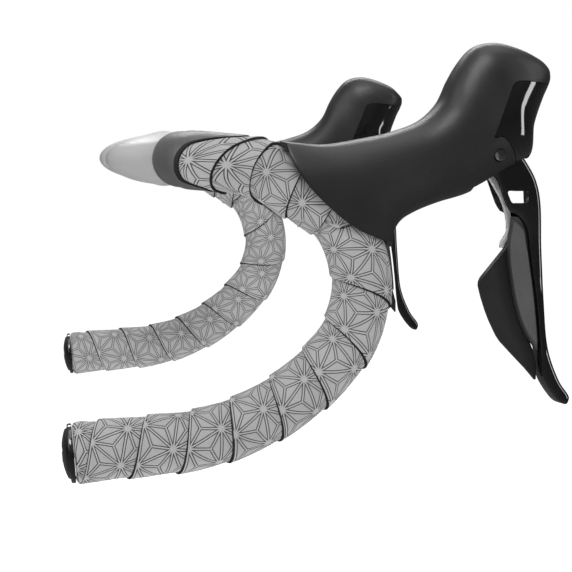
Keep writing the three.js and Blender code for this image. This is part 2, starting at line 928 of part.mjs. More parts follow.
// Return spring: a few turns of wire round the pin, beside the lever's root
class Helix extends THREE.Curve {
  getPoint(share, target = new THREE.Vector3()) {
    const angle = share * springTurns * 2 * Math.PI;
    const pitch = springWire * 2 + 0.35;
    return target.set(
      springRadius * Math.cos(angle),
      springY + pitch * springTurns * (share - 0.5),
      springRadius * Math.sin(angle),
    );
  }
}

function returnSpring() {
  const wire = new THREE.Shape();
  wire.absarc(0, 0, springWire, 0, 2 * Math.PI);
  const coil = new THREE.ExtrudeGeometry(wire, {
    extrudePath: new Helix(),
    steps: springTurns * 8,
    curveSegments: 2,
    bevelEnabled: false,
  });
  return solid(coil.translate(pivotX, 0, pivotZ));
}

// One side of the bar, with +Y outboard
const pocket = join(bracketFoot(gap), bandRing(gap), boltSpace());
const sidePieces = {
  bar_tape: [barTape(pocket), tapeFoam],
  finishing_tape: [finishingTape(), blackTape],
};
const plugPieces = {
  end_cap: [endCap(), glossBlack],
  plug_sleeve: [plugSleeve(), satinBlack],
  plug_wedge: [plugWedge(), satinBlack],
  plug_screw: [plugScrew(), steel],
};
const clampPieces = {
  clamp_band: [clampBand(), steel],
  clamp_bolt: [clampBolt(), steel],
};
const bracketPieces = {
  lever_hood: [leverHood(), rubber],
  bracket_body: [bracketBody(), castAlloy],
  front_cap: [frontCap(), glossBlack],
  pivot_pin: [pivotPin(), steel],
  brake_blade: [brakeBlade(), glossBlack],
  shift_arm: [shiftArm(), steel],
  upper_shift_button: [upperShiftButton(), textured],
  lower_shift_paddle: [lowerShiftPaddle(), satinBlack],
  master_cylinder: [masterCylinder(), anodised],
  piston: [piston(), steel],
  return_spring: [returnSpring(), steel],
};

function fill(group, pieces, sideName) {
  for (const [name, [body, material]] of Object.entries(pieces)) {
    group.add(piece(`${name}_${sideName}`, body, material));
  }
}

function side(sideName) {
  const group = new THREE.Group();
  fill(group, sidePieces, sideName);
  fill(group, clampPieces, sideName);
  const plug = endFrame();
  fill(plug, plugPieces, sideName);
  group.add(plug);
  const bracket = new THREE.Group();
  bracket.position.set(bracketX, bracketFromMiddle, 0);
  bracket.rotation.z = -toeIn;
  fill(bracket, bracketPieces, sideName);
  group.add(bracket);
  return group;
}

const group = new THREE.Group();
group.add(piece('handlebar', handlebar(), anodised));
group.add(side('left'));
const rightSide = side('right');
rightSide.scale.y = -1;
group.add(rightSide);

export default group;
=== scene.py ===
# Taped drop handlebar with brake and shift levers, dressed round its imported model.
# Lengths in this file are millimetres until a piece is made, and metres after that.
# Each side is built with +Y pointing outboard, and the right side is its mirror image.

import math

import bmesh
import bpy
import numpy as np
from mathutils import Matrix, Vector


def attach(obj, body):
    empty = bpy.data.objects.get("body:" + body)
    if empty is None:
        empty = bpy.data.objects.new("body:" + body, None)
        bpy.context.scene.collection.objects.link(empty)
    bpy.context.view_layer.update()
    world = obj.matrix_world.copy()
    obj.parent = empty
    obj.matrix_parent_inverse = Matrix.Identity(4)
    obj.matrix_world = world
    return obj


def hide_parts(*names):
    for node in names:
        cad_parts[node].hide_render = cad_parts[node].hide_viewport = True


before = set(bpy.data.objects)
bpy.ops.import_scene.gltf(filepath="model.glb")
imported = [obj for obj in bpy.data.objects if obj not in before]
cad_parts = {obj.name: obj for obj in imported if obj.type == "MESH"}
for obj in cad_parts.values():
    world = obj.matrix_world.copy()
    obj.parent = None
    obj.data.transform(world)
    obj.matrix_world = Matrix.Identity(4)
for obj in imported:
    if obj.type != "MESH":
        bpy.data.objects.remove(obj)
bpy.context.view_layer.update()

MM = 0.001
SIDES = {"left": 1, "right": -1}

# Handlebar
BAR_WIDTH = 420
BAR_RADIUS = 11.9
BAR_WALL = 2
CLAMP_RADIUS = 15.9
CLAMP_HALF = 28
WING_START = 72
WING_END = 108
ROUND_START = 164
WING_FRONT = 15
WING_REAR = 35
WING_HALF_HEIGHT = 14
SHOULDER_RADIUS = 28.9
SHOULDER_DROP = 2.7
BENDS = [(30, 30.9), (33.2, None), (20.5, 54.2), (53.4, 130.1), (116.9, 175.5), (46.5, None)]
FLARE = 0.041

# Bar tape
TAPE_LOW = 14
TAPE_HIGH = 15.2
TAPE_PITCH = 22.5
TAPE_MEAN = 14.6
TAPE_START = 196
TUCKED_RADIUS = 13.2
FINISH_START = 172
FINISH_END = 206
FINISH_RADIUS = 13.9
FINISH_LAP = 14.5
# Width of the near-black strip painted along the finishing band's edge: painted shade, not a real black
# rim
BAND_EDGE_SHADE = 2

# End plug
CAP_RIM = 2.6
CAP_DOME = 3.4
CAP_RADIUS = 14.3

# Lever bracket
BRACKET = (80, 212)
TOE_IN = math.radians(10)
HOOD_WALL = 2
REAR_BOW = 9.6
BOW_FROM = math.radians(19)
BOW_TO = math.radians(150)
BOW_REACH = 0.25
GAP = 0.3
SLOT_HALF = 9
PIVOT = (71.7, 2)
PIN_RADIUS = 3
PIN_HALF = 16.2

# Brake lever and shift controls
BLADE_HALF = 8.5
BLADE_LOW_HALF = 6.5
BLADE_ROUND = 2.4
BLADE_TIP_SHARE = 0.86
CHANNEL_HALF = 6.1
CAM_HALF = 4.2
CAM_Y = -3.1
ARM_HALF = 1.2
ARM_Y = -1.6
BUTTON_HALF = 1.8
BUTTON_Y = 2.5
RIB_Y = 4.15
RIB_HEIGHT = 0.3
PADDLE_HALF = 1.6
PADDLE_Y = -1.6
PADDLE_FORWARD = 0.5


# Camera and stage

def make_camera():
    data = bpy.data.cameras.new("camera")
    data.sensor_width = 36
    data.lens = 112.21
    data.clip_start = 0.05
    data.clip_end = 50
    camera = bpy.data.objects.new("camera", data)
    camera.location = (-0.05572, -1.06561, 0.00266)
    camera.rotation_euler = (math.radians(85.76), 0, math.radians(-6.97))
    bpy.context.scene.collection.objects.link(camera)
    bpy.context.scene.camera = camera


def area_light(name, place, target, size, power):
    data = bpy.data.lights.new(name, "AREA")
    data.shape = "RECTANGLE"
    data.size, data.size_y = size
    data.energy = power
    light = bpy.data.objects.new(name, data)
    light.location = place
    light.rotation_euler = (Vector(target) - Vector(place)).to_track_quat("-Z", "Y").to_euler()
    bpy.context.scene.collection.objects.link(light)


def make_world():
    world = bpy.data.worlds.new("studio")
    world.use_nodes = True
    bpy.context.scene.world = world
    tree = world.node_tree
    tree.nodes.clear()
    place = tree.nodes.new("ShaderNodeTexCoord")
    split = tree.nodes.new("ShaderNodeSeparateXYZ")
    ramp = tree.nodes.new("ShaderNodeValToRGB")
    around = tree.nodes.new("ShaderNodeBackground")
    behind = tree.nodes.new("ShaderNodeBackground")
    rays = tree.nodes.new("ShaderNodeLightPath")
    mix = tree.nodes.new("ShaderNodeMixShader")
    out = tree.nodes.new("ShaderNodeOutputWorld")
    shift = tree.nodes.new("ShaderNodeMath")
    shift.operation = "MULTIPLY_ADD"
    shift.inputs[1].default_value = 0.5
    shift.inputs[2].default_value = 0.5
    tree.links.new(place.outputs["Generated"], split.inputs[0])
    tree.links.new(split.outputs["Z"], shift.inputs[0])
    tree.links.new(shift.outputs[0], ramp.inputs[0])
    tree.links.new(ramp.outputs[0], around.inputs[0])
    elements = ramp.color_ramp.elements
    elements[0].position = 0.0
    elements[0].color = (0.3, 0.3, 0.3, 1)
    elements[1].position = 1.0
    elements[1].color = (0.8, 0.8, 0.8, 1)
    middle = elements.new(0.52)
    middle.color = (0.07, 0.07, 0.07, 1)
    around.inputs[1].default_value = 0.75
    behind.inputs[0].default_value = (1, 1, 1, 1)
    behind.inputs[1].default_value = 1.0
    tree.links.new(rays.outputs["Is Camera Ray"], mix.inputs[0])
    tree.links.new(around.outputs[0], mix.inputs[1])
    tree.links.new(behind.outputs[0], mix.inputs[2])
    tree.links.new(mix.outputs[0], out.inputs[0])


def make_floor():
    sheet = bpy.data.meshes.new("floor")
    half, height = 12, -0.62
    sheet.from_pydata(
        [(-half, -half, height), (half, -half, height), (half, half, height), (-half, half, height)],
        [],
        [(0, 1, 2, 3)],
    )
    floor = bpy.data.objects.new("floor", sheet)
    bpy.context.scene.collection.objects.link(floor)
    material = bpy.data.materials.new("pale_floor")
    material.use_nodes = True
    shader = material.node_tree.nodes["Principled BSDF"]
    shader.inputs["Base Color"].default_value = (0.9, 0.9, 0.9, 1)
    shader.inputs["Roughness"].default_value = 0.9
    shader.inputs["Specular IOR Level"].default_value = 0.1
    shader.inputs["Emission Color"].default_value = (1, 1, 1, 1)
    shader.inputs["Emission Strength"].default_value = 0.7
    sheet.materials.append(material)
    floor.visible_glossy = False


bpy.context.scene.view_settings.view_transform = "Standard"
make_camera()
make_world()
make_floor()
area_light("top", (0.1, -0.15, 1.5), (0.05, 0, 0), (1.6, 1.2), 10)
area_light("rear", (-1.3, -0.5, 0.6), (0, -0.1, 0), (0.9, 1.2), 9)
area_light("front", (1.4, -0.8, 0.35), (0.1, -0.1, 0), (0.22, 1.4), 7)
area_light("rim", (0.15, 1.5, 1.25), (0.08, 0, 0), (1.6, 0.35), 16)
area_light("camera_side", (-0.5, -1.5, 1.7), (0.03, -0.1, 0), (1.2, 0.8), 32)


# Materials

def material(
    name,
    color,
    roughness,
    metallic=0.0,
    grain=400.0,
    bump=0.0,
    vary=0.12,
    rough_vary=0.08,
    coat=0.0,
    sheen=0.0,
    specular=0.5,
):
    made = bpy.data.materials.new(name)
    made.use_nodes = True
    tree = made.node_tree
    shader = tree.nodes["Principled BSDF"]
    shader.inputs["Metallic"].default_value = metallic
    shader.inputs["Specular IOR Level"].default_value = specular
    shader.inputs["Coat Weight"].default_value = coat
    shader.inputs["Coat Roughness"].default_value = 0.04
    shader.inputs["Sheen Weight"].default_value = sheen
    place = tree.nodes.new("ShaderNodeTexCoord")
    cloud = tree.nodes.new("ShaderNodeTexNoise")
    cloud.inputs["Scale"].default_value = 38.0
    cloud.inputs["Detail"].default_value = 4.0
    tree.links.new(place.outputs["Object"], cloud.inputs["Vector"])
    fine = tree.nodes.new("ShaderNodeTexNoise")
    fine.inputs["Scale"].default_value = grain
    fine.inputs["Detail"].default_value = 3.0
    tree.links.new(place.outputs["Object"], fine.inputs["Vector"])
    both = tree.nodes.new("ShaderNodeMath")
    both.operation = "MULTIPLY_ADD"
    both.inputs[1].default_value = 0.5
    tree.links.new(fine.outputs["Fac"], both.inputs[0])
    half = tree.nodes.new("ShaderNodeMath")
    half.operation = "MULTIPLY"
    half.inputs[1].default_value = 0.5
    tree.links.new(cloud.outputs["Fac"], half.inputs[0])
    tree.links.new(half.outputs[0], both.inputs[2])
    ramp = tree.nodes.new("ShaderNodeValToRGB")
    low, high = color * (1 - vary), color * (1 + vary)
    ramp.color_ramp.elements[0].position = 0.3
    ramp.color_ramp.elements[0].color = (low, low, low, 1)
    ramp.color_ramp.elements[1].position = 0.7
    ramp.color_ramp.elements[1].color = (high, high, high, 1)
    tree.links.new(both.outputs[0], ramp.inputs[0])
    tree.links.new(ramp.outputs[0], shader.inputs["Base Color"])
    spread = tree.nodes.new("ShaderNodeMapRange")
    spread.inputs["From Min"].default_value = 0.3
    spread.inputs["From Max"].default_value = 0.7
    spread.inputs["To Min"].default_value = max(0.02, roughness - rough_vary)
    spread.inputs["To Max"].default_value = roughness + rough_vary
    tree.links.new(both.outputs[0], spread.inputs["Value"])
    tree.links.new(spread.outputs[0], shader.inputs["Roughness"])
    if bump:
        bumps = tree.nodes.new("ShaderNodeBump")
        bumps.inputs["Strength"].default_value = bump
        bumps.inputs["Distance"].default_value = 0.0003
        tree.links.new(fine.outputs["Fac"], bumps.inputs["Height"])
        tree.links.new(bumps.outputs[0], shader.inputs["Normal"])
    return made


TAPE_PAD = material("tape_pad", 0.27, 0.72, grain=1500, bump=0.35, vary=0.1, sheen=0.1)
TAPE_RIDGE = material("tape_ridge", 0.285, 0.7, grain=1500, bump=0.3, vary=0.08, sheen=0.1)
TAPE_GROOVE = material("tape_groove", 0.06, 0.8, grain=1500, bump=0.2, vary=0.2)
# Near-black of the tape's foam cut edge, its own colour; the same material is laid along the finishing
# band's edge as painted shade
TAPE_CUT_AND_EDGE_SHADE = material("tape_cut_edge_and_band_shade", 0.006, 0.85, grain=2500, bump=0.5, vary=0.4)
BAND = material("finishing_band", 0.06, 0.42, grain=900, bump=0.15, vary=0.25)
RUBBER = material(
    "hood_rubber", 0.011, 0.38, grain=2600, bump=0.25, vary=0.2, rough_vary=0.06, specular=0.35
)
GLOSS = material("gloss_black", 0.004, 0.07, grain=120, vary=0.2, rough_vary=0.02, coat=0.6)
SATIN = material("satin_black", 0.012, 0.33, grain=1400, bump=0.12, vary=0.25)
HATCH = material("hatched_grip", 0.03, 0.45, grain=1800, bump=0.2, vary=0.2)
HATCH_RIB = material("hatched_rib", 0.085, 0.5, grain=1800, bump=0.2, vary=0.2)
CHROME = material("chrome", 0.8, 0.28, metallic=0.6, grain=300, vary=0.06, rough_vary=0.04)
STEEL = material("steel", 0.45, 0.3, metallic=1, grain=700, bump=0.1, vary=0.1)
ANODISED = material(
    "anodised_bar", 0.5, 0.34, metallic=0.5, grain=1500, bump=0.05, vary=0.04, rough_vary=0.03
)
CAST = material("bracket_composite", 0.02, 0.55, grain=1500, bump=0.3, vary=0.3)
PLUG = material("plug_plastic", 0.02, 0.5, grain=900, bump=0.15, vary=0.2)


# Centreline of one half of the bar, with its frames

def centreline(step=1.0):
    points = [np.zeros(3)]
    straight = BAR_WIDTH / 2 - SHOULDER_RADIUS
    count = math.ceil(straight / step)
    points += [np.array([0, straight * i / count, 0]) for i in range(1, count + 1)]
    length = SHOULDER_RADIUS * math.pi / 2
    count = math.ceil(length / step)
    for i in range(1, count + 1):
        share = i / count
        angle = share * math.pi / 2
        x = SHOULDER_RADIUS * (1 - math.cos(angle))
        y = BAR_WIDTH / 2 - SHOULDER_RADIUS * (1 - math.sin(angle))
        points.append(np.array([x, y, -SHOULDER_DROP * share * share]))
    place = points[-1].copy()
    heading = math.atan(2 * SHOULDER_DROP / length)
    for size, until in BENDS:
        turn = 0 if until is None else math.radians(until) - heading
        run = size if until is None else size * turn
        count = math.ceil(run / step)
        for _ in range(count):
            heading += turn / count / 2
            place[0] += run / count * math.cos(heading)
            place[2] -= run / count * math.sin(heading)
            heading += turn / count / 2
            place[1] = BAR_WIDTH / 2 - FLARE * (place[2] + SHOULDER_DROP)
            points.append(place.copy())
    return np.array(points)


PATH = centreline()
ALONG = np.gradient(PATH, axis=0)
ALONG /= np.linalg.norm(ALONG, axis=1)[:, None]
RUNS = np.concatenate([[0], np.cumsum(np.linalg.norm(np.diff(PATH, axis=0), axis=1))])
BAR_LENGTH = RUNS[-1]
OUT = np.zeros_like(PATH)
_out = np.array([0, 0, 1.0])
for _i, _t in enumerate(ALONG):
    _out = _out - _t * (_out @ _t)
    _out /= np.linalg.norm(_out)
    OUT[_i] = _out
ASIDE = np.cross(OUT, ALONG)


def bar_at(run):
    run = np.asarray(run, float)
    inside = np.clip(run, 0, BAR_LENGTH)
    pick = lambda rows: np.stack([np.interp(inside, RUNS, rows[:, k]) for k in range(3)], -1)
    along = pick(ALONG)
    along /= np.linalg.norm(along, axis=-1, keepdims=True)
    centre = pick(PATH) + along * (run - inside)[..., None]
    return centre, along, pick(OUT), pick(ASIDE)


def around_bar(run, turn, out_reach, side_reach=None, back_reach=None):
    side_reach = out_reach if side_reach is None else side_reach
    back_reach = side_reach if back_reach is None else back_reach
    centre, _, out, aside = bar_at(run)
    across = np.sin(turn)
    reach = np.where(across > 0, back_reach, side_reach) * across
    return centre + (out_reach * np.cos(turn))[..., None] * out + reach[..., None] * aside


# Meshes

def link_mesh(name, points, faces, materials, face_material=None):
    mesh = bpy.data.meshes.new(name)
    mesh.from_pydata([tuple(p) for p in points], [], faces)
    for made in materials:
        mesh.materials.append(made)
    if face_material is not None:
        mesh.polygons.foreach_set("material_index", np.asarray(face_material, np.int32))
    mesh.validate()
    obj = bpy.data.objects.new(name, mesh)
    bpy.context.scene.collection.objects.link(obj)
    return obj


def shade(obj, sharp=38):
    work = bmesh.new()
    work.from_mesh(obj.data)
    limit = math.radians(sharp)
    for face in work.faces:
        face.smooth = True
    for edge in work.edges:
        edge.smooth = len(edge.link_faces) == 2 and edge.calc_face_angle() < limit
    work.to_mesh(obj.data)
    work.free()


def loft(name, rings, materials=(), closed=False, fan=False):
    """A skin over rings of points, shaped (rings, around, 3).

    Closed joins the last ring to the first, and fan ends the skin in a point at each end's middle.
    """
    count, around, _ = rings.shape
    points = rings.reshape(-1, 3)
    faces = []
    for i in range(count if closed else count - 1):
        a, b = i * around, ((i + 1) % count) * around
        faces += [(a + k, a + (k + 1) % around, b + (k + 1) % around, b + k) for k in range(around)]
    if fan:
        points = np.concatenate([points, [rings[0].mean(0), rings[-1].mean(0)]])
        base, first, last = (count - 1) * around, len(points) - 2, len(points) - 1
        faces += [(first, (k + 1) % around, k) for k in range(around)]
        faces += [(last, base + k, base + (k + 1) % around) for k in range(around)]
    elif not closed:
        faces.append(tuple(range(around - 1, -1, -1)))
        faces.append(tuple((count - 1) * around + k for k in range(around)))
    obj = link_mesh(name, points, faces, materials)
    face_out(obj)
    return obj


def face_out(obj):
    work = bmesh.new()
    work.from_mesh(obj.data)
    bmesh.ops.recalc_face_normals(work, faces=work.faces)
    if work.calc_volume(signed=True) < 0:
        bmesh.ops.reverse_faces(work, faces=work.faces)
    work.to_mesh(obj.data)
    work.free()


def boolean(obj, other, operation):
    """Cuts, joins or crosses the first mesh with the second, which is used up."""
    step = obj.modifiers.new("cut", "BOOLEAN")
    step.operation = operation
    step.solver = "MANIFOLD"
    step.object = other
    bake(obj)
    remove(other)
    return obj


def bake(obj):
    bpy.context.view_layer.update()
    graph = bpy.context.evaluated_depsgraph_get()
    mesh = bpy.data.meshes.new_from_object(obj.evaluated_get(graph))
    old = obj.data
    obj.modifiers.clear()
    obj.data = mesh
    bpy.data.meshes.remove(old)


def remove(obj):
    mesh = obj.data
    bpy.data.objects.remove(obj)
    if mesh.users == 0:
        bpy.data.meshes.remove(mesh)


def cut(obj, *tools):
    for tool in tools:
        boolean(obj, tool, "DIFFERENCE")
    return obj


def join(obj, *others):
    for other in others:
        boolean(obj, other, "UNION")
    return obj


def clean(obj, distance=0.004):
    work = bmesh.new()
    work.from_mesh(obj.data)
    bmesh.ops.remove_doubles(work, verts=work.verts, dist=distance)
    bmesh.ops.dissolve_degenerate(work, dist=distance / 2, edges=work.edges)
    work.to_mesh(obj.data)
    work.free()


def paint(obj, made):
    """Gives the whole mesh one material."""
    obj.data.materials.clear()
    obj.data.materials.append(made)
    obj.data.polygons.foreach_set("material_index", np.zeros(len(obj.data.polygons), np.int32))


def smooth_curve(points, steps=8, closed=True):
    """A Catmull-Rom curve through points in X and Z."""
    p = np.array(points, float)
    count = len(p)
    out = []
    for i in range(count if closed else count - 1):
        if closed:
            a, b, c, d = p[(i - 1) % count], p[i], p[(i + 1) % count], p[(i + 2) % count]
        else:
            a, b, c, d = p[max(i - 1, 0)], p[i], p[i + 1], p[min(i + 2, count - 1)]
        for k in range(steps):
            t = k / steps
            out.append(
                0.5
                * (
                    2 * b
                    + (c - a) * t
                    + (2 * a - 5 * b + 4 * c - d) * t * t
                    + (3 * b - a - 3 * c + d) * t ** 3
                )
            )
    if not closed:
        out.append(p[-1])
    return np.array(out)


def plate(name, outline, half_width, middle_y=0.0, round_over=0.0, materials=()):
    """A side outline in X and Z, deep along Y, with its two rims rounded over."""
    if not round_over:
        outline = np.array(outline, float)
        rings = [
            np.stack([outline[:, 0], np.full(len(outline), y), outline[:, 1]], -1)
            for y in (middle_y - half_width, middle_y + half_width)
        ]
        return loft(name, np.array(rings), materials)
    curve = bpy.data.curves.new(name, "CURVE")
    curve.dimensions = "2D"
    curve.fill_mode = "BOTH"
    curve.offset = -round_over
    curve.bevel_depth = round_over
    curve.bevel_resolution = 3
    curve.extrude = half_width - round_over
    line = curve.splines.new("POLY")
    line.points.add(len(outline) - 1)
    for point, (x, z) in zip(line.points, outline):
        point.co = (x, z, 0, 1)
    line.use_cyclic_u = True
    source = bpy.data.objects.new(name, curve)
    bpy.context.scene.collection.objects.link(source)
    bpy.context.view_layer.update()
    graph = bpy.context.evaluated_depsgraph_get()
    mesh = bpy.data.meshes.new_from_object(source.evaluated_get(graph))
    bpy.data.objects.remove(source)
    mesh.transform(Matrix(((1, 0, 0, 0), (0, 0, -1, middle_y), (0, 1, 0, 0), (0, 0, 0, 1))))
    mesh.materials.clear()
    for made in materials:
        mesh.materials.append(made)
    obj = bpy.data.objects.new(name, mesh)
    bpy.context.scene.collection.objects.link(obj)
    clean(obj, 0.01)
    face_out(obj)
    return obj


def turned(name, profile, around, materials=(), closed=False):
    """A turned solid about Y from (radius, y) pairs."""
    turn = np.linspace(0, 2 * math.pi, around, endpoint=False)
    rings = [np.stack([r * np.sin(turn), np.full(around, y), r * np.cos(turn)], -1) for r, y in profile]
    return loft(name, np.array(rings), materials, closed)


def from_pivot(points):
    return [(PIVOT[0] + x, PIVOT[1] + z) for x, z in points]


def bracket_matrix():
    return Matrix.Translation((BRACKET[0], BRACKET[1], 0)) @ Matrix.Rotation(-TOE_IN, 4, "Z")


def to_bracket(obj):
    obj.data.transform(bracket_matrix().inverted())
    return obj


def place_pair(obj, matrix, body, node, sharp=38):
    """Makes the left and right pieces of a side's shape, each on its body in place of its node."""
    shape = obj.data
    if matrix is not None:
        shape.transform(matrix)
    shape.transform(Matrix.Scale(MM, 4))
    name = obj.name
    bpy.data.objects.remove(obj)
    for side, sign in SIDES.items():
        mesh = shape.copy()
        if sign < 0:
            mesh.transform(Matrix.Scale(-1, 4, (0, 1, 0)))
            mesh.flip_normals()
        piece = bpy.data.objects.new(f"{name}_{side}", mesh)
        bpy.context.scene.collection.objects.link(piece)
        shade(piece, sharp)
        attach(piece, body.format(side=side))
        if node:
            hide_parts(f"{node}_{side}")
    bpy.data.meshes.remove(shape)


# Handlebar: a tube, round at the clamp, a wing section on the tops, round again to the ends

def smooth_step(low, high, value):
    share = np.clip((value - low) / (high - low), 0, 1)
    return share * share * (3 - 2 * share)


def mix(a, b, share):
    return a + (b - a) * share


def bar_section(run):
    wing = smooth_step(CLAMP_HALF, WING_START, run)
    round_off = smooth_step(WING_END, ROUND_START, run)
    return [
        mix(mix(CLAMP_RADIUS, on_tops, wing), BAR_RADIUS, round_off)
        for on_tops in (WING_HALF_HEIGHT, WING_FRONT, WING_REAR)
    ]


def bar_rings(inset, step, around=64):
    half = np.linspace(0, BAR_LENGTH, math.ceil(BAR_LENGTH / step) + 1)
    turn = np.linspace(0, 2 * math.pi, around, endpoint=False)
    rings = []
    for sign, runs in ((-1, half[:0:-1]), (1, half)):
        for run in runs:
            height, front, rear = (reach - inset for reach in bar_section(run))
            ring = around_bar(np.full(around, run), turn, np.full(around, height), front, rear)
            ring[:, 1] *= sign
            rings.append(ring)
    return rings


def make_handlebar():
    rings = bar_rings(0, 3) + bar_rings(BAR_WALL, 9)[::-1]
    bar = loft("bar_tube", np.array(rings), [ANODISED], closed=True)
    bar.data.transform(Matrix.Scale(MM, 4))
    shade(bar)
    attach(bar, "bar")
    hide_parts("handlebar")


make_handlebar()


# Bar tape: one printed strip per side, wound towards the tops, each turn lying over the one before.
# On the strip, u runs along it and d runs across it from its open edge.

SLANT = math.atan(TAPE_PITCH / (2 * math.pi * TAPE_MEAN))

# Where the open edge lies along the bar, after so many turns from the tops
OPEN_EDGE = [
    (0, 168), (1, 192), (1.5, 206), (1.77, 218), (1.83, 214.8), (1.9, 214.2), (2, 216), (2.1, 220.5),
    (2.21, 229.5), (2.4, 236), (2.6, 242), (2.76, 242.3), (2.79, 238.6), (2.85, 232.4), (2.91, 229.8),
    (3, 229.2), (3.11, 232), (3.19, 234.4), (3.4, 244), (3.65, 254), (3.8, 256.5), (3.87, 254.3),
    (4, 251.6), (4.1, 251), (4.4, 258), (4.7, 270), (4.85, 272.4), (5, 272), (5.3, 274), (5.6, 270),
    (5.8, 264), (5.9, 267), (5.93, 273), (5.96, 281), (6, 283.2), (6.05, 284.4), (6.3, 290), (6.6, 302),
    (7, 315.2), (8, 341.5), (9, 365.8), (10, 389.8), (11, 414.3), (12, 436.5), (13, 459.8), (14, 483.5),
    (15, 507),
]

# Where the finishing tape's edge lies along the bar, after so many degrees from its top
FINISH_EDGE = [
    (0, 227), (14, 224.8), (35, 212.8), (50, 206.4), (68, 203.6), (100, 202), (117, 202), (137, 204),
    (146, 208.4), (180, 214), (240, 219), (300, 224), (360, 227),
]

# The star lattice on the strip: one row of stars by the open edge, the next halfway between them
STAR_SPACING = 19.6
ROW_SPACING = 15.6
FIRST_STAR = 1048.4
ROW_FROM_EDGE = 0.3
STAR_COLUMNS = range(-56, 20)
STAR_ROWS = (-1, 0, 1, 2)

# How the pull of winding draws the lattice along the strip, across it, and leans it
DRIFT_AT = [78, 176, 274, 372, 460, 549, 656, 754, 842, 1042, 1131, 1222, 1320]
DRIFT = [15, 10.8, 6.3, -1.2, 8, 2.2, 0.5, -0.4, -0.2, -5.9, -4.1, -0.9, -5.6]
SHIFT_AT = [78, 176, 274, 372, 460, 549, 656, 754, 1042]
SHIFT = [-6.5, -6.9, -1.2, -3, 0.5, 3.3, 1.9, 1.4, 0]
LEAN_AT = [78, 176, 274, 372, 460]
LEAN = [5, 4, 5.6, 3, 0]

# Each cell's outline is drawn in by these steps, at these heights: ridge, groove wall, groove, pad
INSETS = [0, 0.36, 0.52, 0.8, 1.4]
RISES = [0, -0.03, -0.4, -0.04, 0.03]
MIDDLE_RISE = 0.06
EDGE_STEPS = 8
RIDGE, GROOVE, PAD, CUT_EDGE = range(4)
LEVEL_KINDS = (RIDGE, GROOVE, GROOVE, PAD)

STRIP_REACH = 40
HIDDEN_SHARE = -0.15
UNDERSIDE = -50
CUT_SLANT = 0.8
END_BULGE = 14.8
END_ROUND = 2.6
NEAR = 0.02


def smooth_table(at, table):
    """A smooth curve through a table of places and values, level past its ends."""
    places, values = np.array(table, float).T
    slopes = np.gradient(values, places)
    at = np.clip(at, places[0], places[-1])
    k = np.clip(np.searchsorted(places, at, side="right") - 1, 0, len(places) - 2)
    span = places[k + 1] - places[k]
    t = (at - places[k]) / span
    rise = values[k + 1] - values[k]
    leave, arrive = slopes[k] * span, slopes[k + 1] * span
    return (
        values[k]
        + leave * t
        + (3 * rise - 2 * leave - arrive) * t * t
        + (leave + arrive - 2 * rise) * t ** 3
    )


def finish_edge(turn):
    return smooth_table(np.degrees(turn) % 360, FINISH_EDGE)


def strip_run(u, d):
    """The run along the bar, the turn angle and the share of the overlap of a place on the strip."""
    angle = (u * math.cos(SLANT) + d * math.sin(SLANT)) / TAPE_MEAN
    turns = 1 + angle / (2 * math.pi)
    own = smooth_table(turns, OPEN_EDGE)
    before = smooth_table(turns - 1, OPEN_EDGE)
    run = own - d / math.cos(SLANT)
    return run, math.pi / 2 - angle, 1 - (own - run) / np.maximum(own - before, 1)


def strip_radius(run, turn, share, rise):
    top = TAPE_LOW + (TAPE_HIGH - TAPE_LOW) * np.clip(share, 0, 1) + 0.8 * np.minimum(share, 0)
    lap = smooth_step(-1.5, 4.5, run - finish_edge(turn))
    top = mix(np.minimum(top, TUCKED_RADIUS), top, lap)
    bulge = smooth_step(BAR_LENGTH - 8.5, BAR_LENGTH - 5.5, run)
    top = mix(top, np.maximum(top, END_BULGE), bulge)
    bend = np.clip((run - BAR_LENGTH + END_ROUND) / END_ROUND, 0, 1)
    return top + rise * mix(0.2, 1, lap) - 1.9 * (1 - np.sqrt(1 - bend * bend))


def cell_corners():
    """The three corners, in u and d, of every cell of the lattice that the strip needs."""

    def star(c, r):
        return np.array([FIRST_STAR + STAR_SPACING * (c + r / 2), ROW_FROM_EDGE + ROW_SPACING * r])

    for r in STAR_ROWS:
        for c in STAR_COLUMNS:
            for corners in (
                (star(c, r), star(c + 1, r), star(c, r + 1)),
                (star(c + 1, r), star(c + 1, r + 1), star(c, r + 1)),
            ):
                middle = sum(corners) / 3
                for k in range(3):
                    cell = (corners[k], corners[(k + 1) % 3], middle)
                    if max(p[1] for p in cell) > -7 and min(p[1] for p in cell) < STRIP_REACH + 1:
                        yield cell


def lattice():
    """Points in u, d and rise, faces and their kinds."""
    points, faces, kinds = [], [], []
    steps = EDGE_STEPS
    around = 3 * steps
    share = (np.arange(steps) / steps)[:, None]
    for cell in cell_corners():
        corners = np.array(cell)
        lengths = [np.linalg.norm(corners[(k + 1) % 3] - corners[(k + 2) % 3]) for k in range(3)]
        centre = sum(l * p for l, p in zip(lengths, corners)) / sum(lengths)
        edge_a, edge_b = corners[1] - corners[0], corners[2] - corners[0]
        inner = abs(edge_a[0] * edge_b[1] - edge_a[1] * edge_b[0]) / sum(lengths)
        start = len(points)
        for inset, rise in zip(INSETS, RISES):
            ring = corners + (centre - corners) * (inset / inner)
            for k in range(3):
                line = ring[k] + (ring[(k + 1) % 3] - ring[k]) * share
                points += [(u, d, rise) for u, d in line]
        points.append((centre[0], centre[1], MIDDLE_RISE))
        for level in range(len(INSETS) - 1):
            a, b = start + level * around, start + (level + 1) * around
            for k in range(around):
                n = (k + 1) % around
                faces.append((a + k, a + n, b + n, b + k))
                kinds.append(LEVEL_KINDS[level])
        last, tip = start + (len(INSETS) - 1) * around, len(points) - 1
        for k in range(around):
            faces.append((last + k, last + (k + 1) % around, tip))
            kinds.append(PAD)
    return np.array(points), faces, kinds


